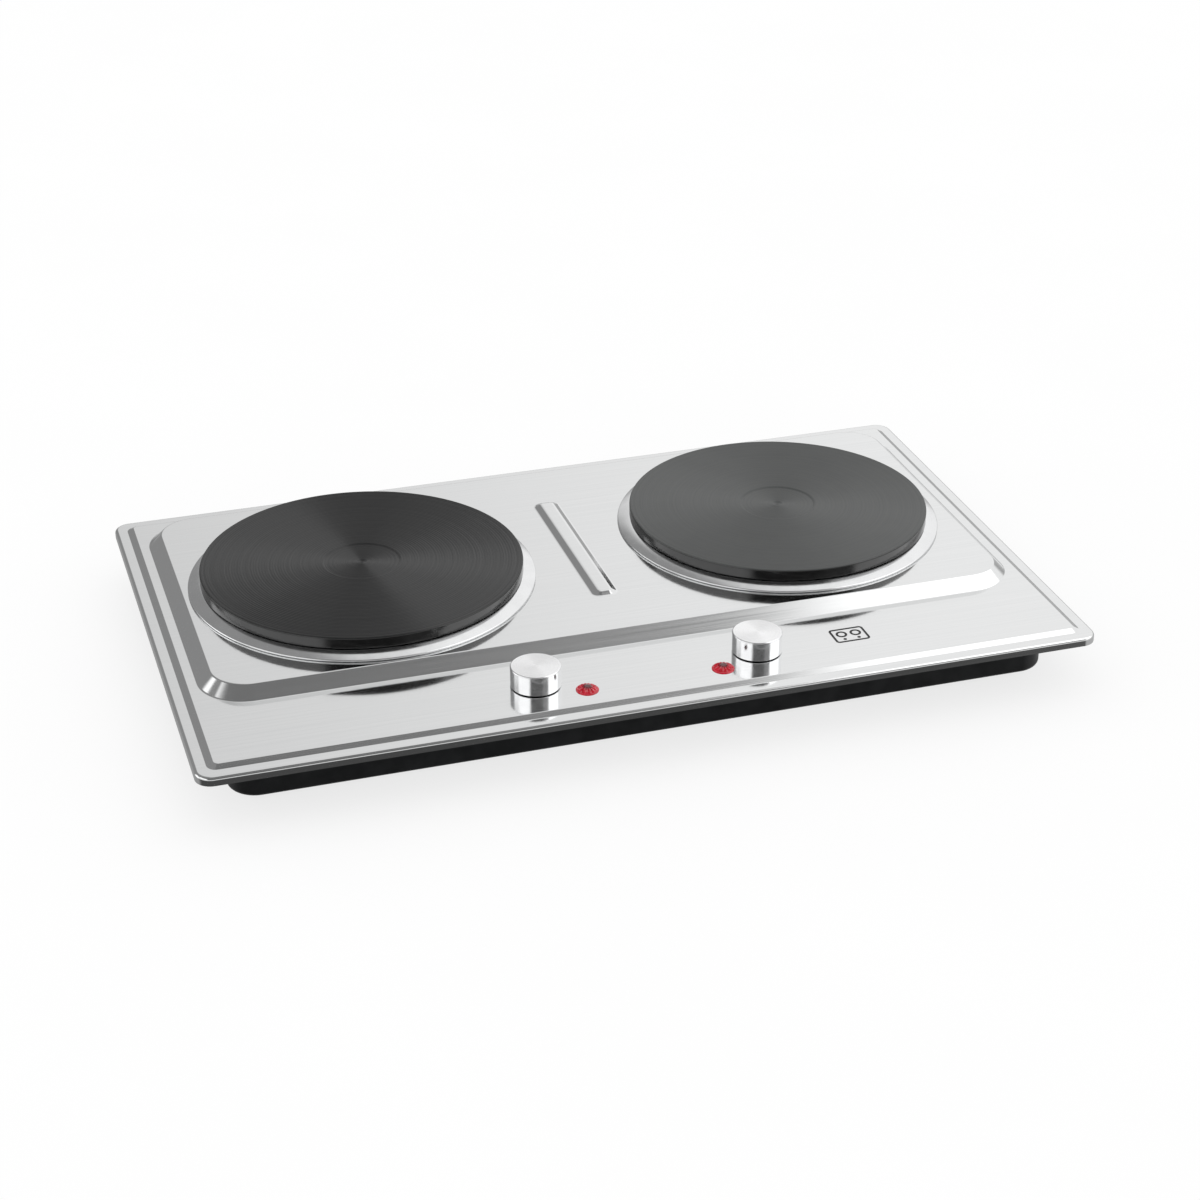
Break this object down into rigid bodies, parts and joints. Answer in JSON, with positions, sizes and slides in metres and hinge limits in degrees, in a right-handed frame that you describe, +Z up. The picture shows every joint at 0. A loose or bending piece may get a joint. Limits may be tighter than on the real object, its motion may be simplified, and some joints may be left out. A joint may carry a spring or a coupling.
{
  "type": "hot plate burner",
  "caption": "Free-standing electric hot plate: pressed steel top on a black tray, round cast-iron plates in spill rings, turning knobs and red pilot lamps in front.",
  "frame": {"origin": "on the table under the feet, below the middle of the panel", "axes": "+X right along the long side, +Y to the back (the knobs are at the front, -Y), +Z up"},
  "size_m": [0.498, 0.301, 0.0535],
  "materials": {
    "panel_steel": "brushed stainless, satin",
    "tray_enamel": "satin black coating",
    "zinc_steel": "zinc plated",
    "foot_rubber": "matt black rubber",
    "cast_iron": "turned and blackened",
    "element_filling": "dull pressed filling",
    "cover_sheet": "mill-finish sheet",
    "ring_chrome": "polished stainless",
    "ceramic": "unglazed white ceramic",
    "brass": "plain brass",
    "blade_bronze": "rolled bronze strip",
    "core_plastic": "black moulded plastic",
    "spring_steel": "blued spring strip",
    "knob_aluminium": "turned, polished side",
    "lens_red": "clear red moulding",
    "holder_plastic": "white moulded plastic",
    "gland_plastic": "black nylon",
    "block_plastic": "ivory moulded plastic",
    "lead_brown": "braided sleeve",
    "lead_blue": "braided sleeve",
    "lead_red": "braided sleeve",
    "lead_earth": "braided sleeve"
  },
  "bodies": {
    "root": {"top_panel": "panel_steel", "base_tray": "tray_enamel", "rim_nuts": "zinc_steel", "front_left_foot": "foot_rubber", "front_right_foot": "foot_rubber", "rear_left_foot": "foot_rubber", "rear_right_foot": "foot_rubber", "foot_screws": "zinc_steel", "left_hotplate": "cast_iron", "right_hotplate": "cast_iron", "left_heating_element": "element_filling", "right_heating_element": "element_filling", "left_underside_cover": "cover_sheet", "right_underside_cover": "cover_sheet", "left_centre_stud": "zinc_steel", "right_centre_stud": "zinc_steel", "left_clamp_bridge": "zinc_steel", "right_clamp_bridge": "zinc_steel", "stud_washers": "zinc_steel", "stud_nuts": "zinc_steel", "left_spill_ring": "ring_chrome", "right_spill_ring": "ring_chrome", "left_terminal_insulator": "ceramic", "right_terminal_insulator": "ceramic", "plate_terminals": "brass", "left_heat_shield": "cover_sheet", "right_heat_shield": "cover_sheet", "left_thermostat_frame": "zinc_steel", "right_thermostat_frame": "zinc_steel", "left_thermostat_stack": "ceramic", "right_thermostat_stack": "ceramic", "left_contact_blades": "blade_bronze", "right_contact_blades": "blade_bronze", "thermostat_rivets": "zinc_steel", "bush_nuts": "zinc_steel", "left_lamp_lens": "lens_red", "right_lamp_lens": "lens_red", "left_lamp_holder": "holder_plastic", "right_lamp_holder": "holder_plastic", "cord_gland": "gland_plastic", "gland_nut": "gland_plastic", "terminal_block": "block_plastic", "terminal_screws": "brass", "earth_stud": "zinc_steel", "earth_nut": "zinc_steel", "live_feed_lead": "lead_brown", "live_link_lead": "lead_brown", "neutral_feed_lead": "lead_blue", "neutral_link_lead": "lead_blue", "left_switched_lead": "lead_red", "right_switched_lead": "lead_red", "earth_lead": "lead_earth"},
    "left_knob": {"left_spindle": "zinc_steel", "left_knob_core": "core_plastic", "left_knob_spring": "spring_steel", "left_knob_cap": "knob_aluminium"},
    "right_knob": {"right_spindle": "zinc_steel", "right_knob_core": "core_plastic", "right_knob_spring": "spring_steel", "right_knob_cap": "knob_aluminium"}
  },
  "joints": [
    {"name": "left_knob_turn", "type": "hinge", "parent": "root", "child": "left_knob", "pos_m": [-0.0623, -0.112, 0.0424], "axis": [0, 0, -1], "range_deg": [0, 300]},
    {"name": "right_knob_turn", "type": "hinge", "parent": "root", "child": "right_knob", "pos_m": [0.0623, -0.112, 0.0424], "axis": [0, 0, -1], "range_deg": [0, 300]}
  ]
}
